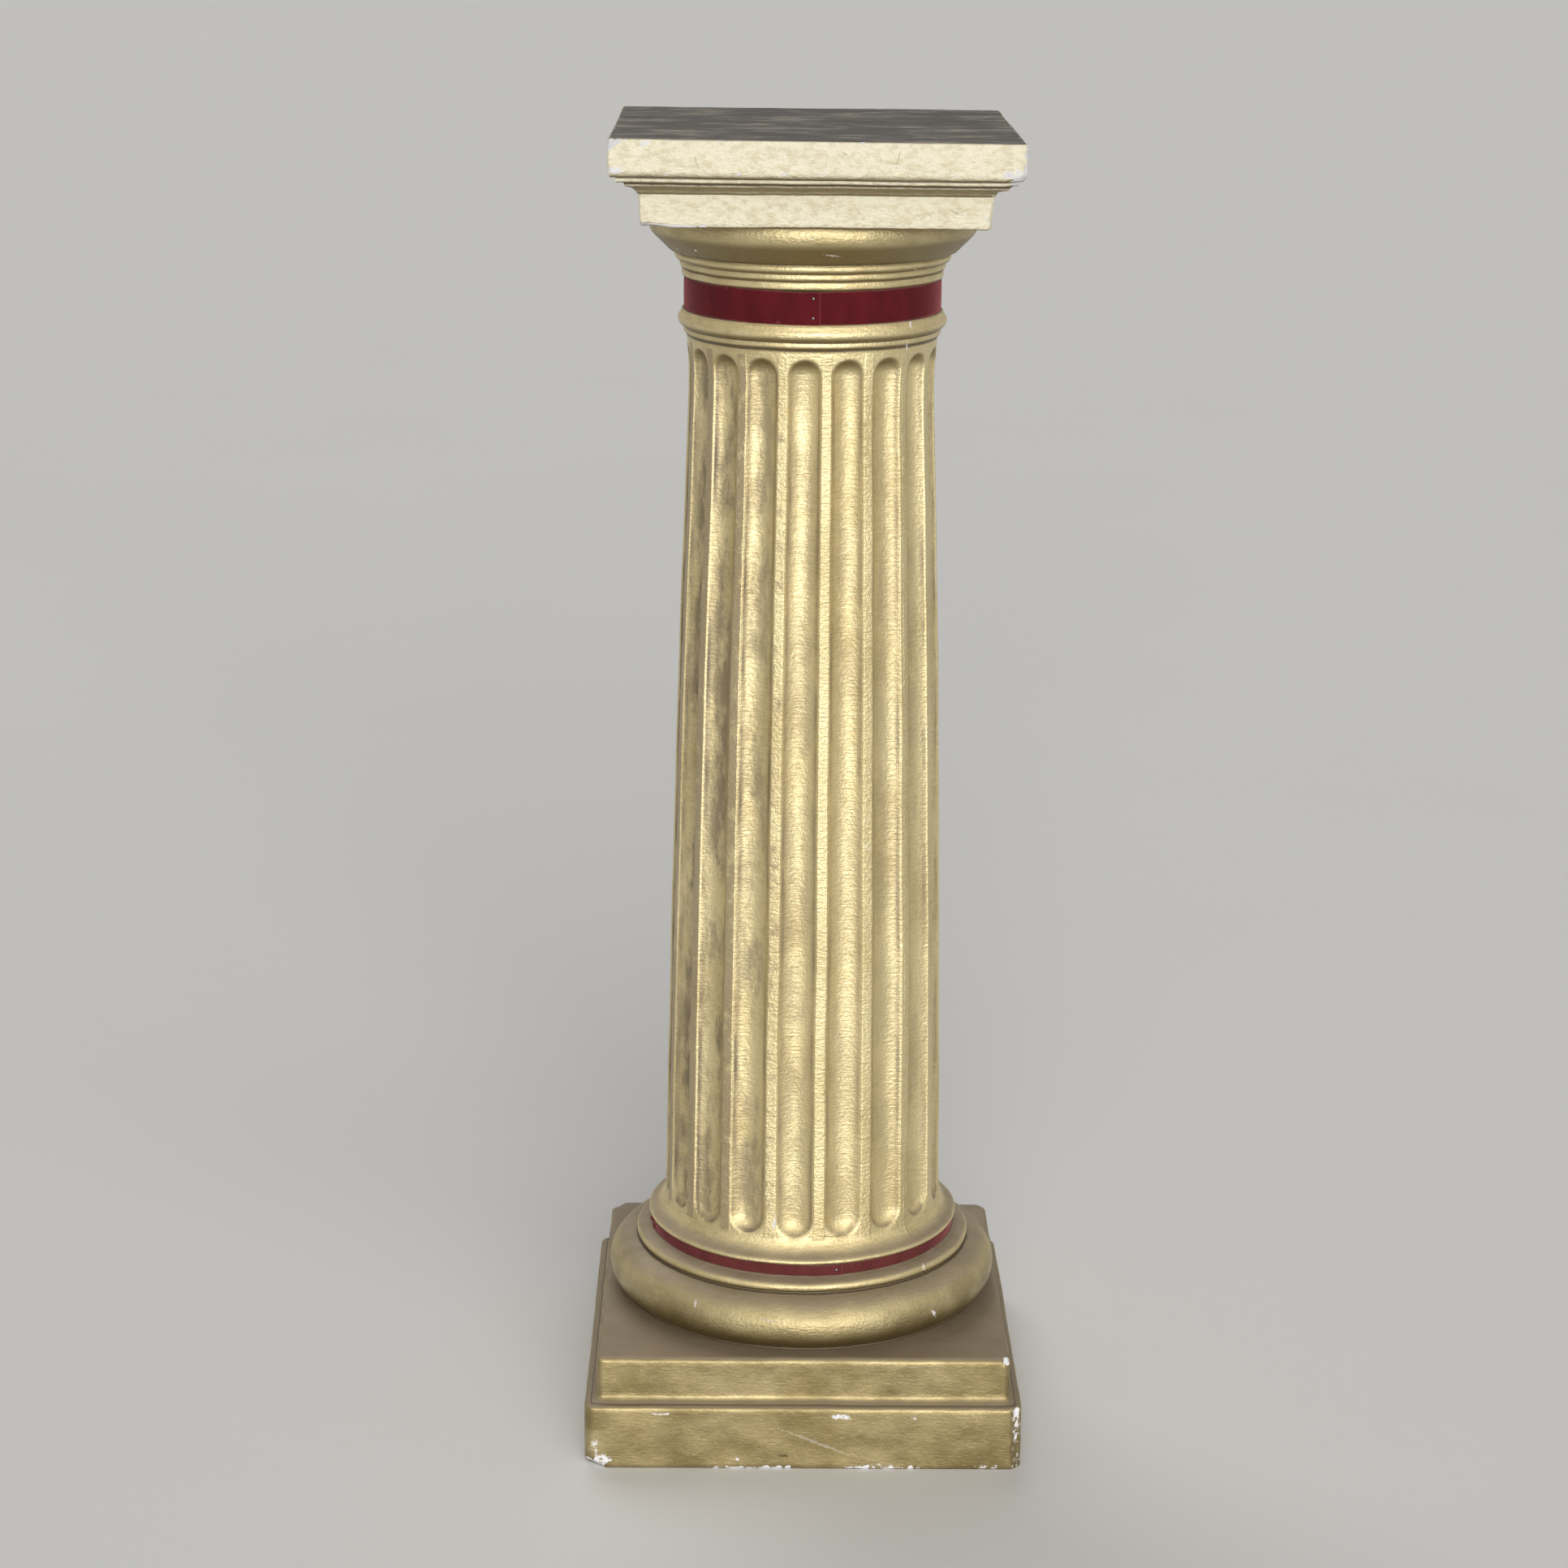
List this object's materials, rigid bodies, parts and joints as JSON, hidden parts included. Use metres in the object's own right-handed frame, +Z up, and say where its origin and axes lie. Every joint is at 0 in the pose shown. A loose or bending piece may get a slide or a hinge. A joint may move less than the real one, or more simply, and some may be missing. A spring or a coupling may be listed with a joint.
{
  "type": "fluted column",
  "caption": "Fluted pedestal column of gold-painted plaster, with a square plinth and abacus and two velvet ribbons pinned round it.",
  "frame": {"origin": "middle of the plinth's underside", "axes": "+Z up along the column's axis, -Y towards the viewer, X and Y square to the plinth's sides"},
  "size_m": [0.356, 0.356, 1.067],
  "materials": {
    "gold_plaster": "cast plaster under metallic gold paint, worn and dusty",
    "neck_velvet": "dark red velvet ribbon",
    "base_velvet": "dark red velvet ribbon, dusty",
    "pin_steel": "dark steel pin heads"
  },
  "bodies": {
    "root": {"column_casting": "gold_plaster", "neck_ribbon": "neck_velvet", "base_ribbon": "base_velvet", "neck_ribbon_pins": "pin_steel", "base_ribbon_pin": "pin_steel"}
  },
  "joints": []
}
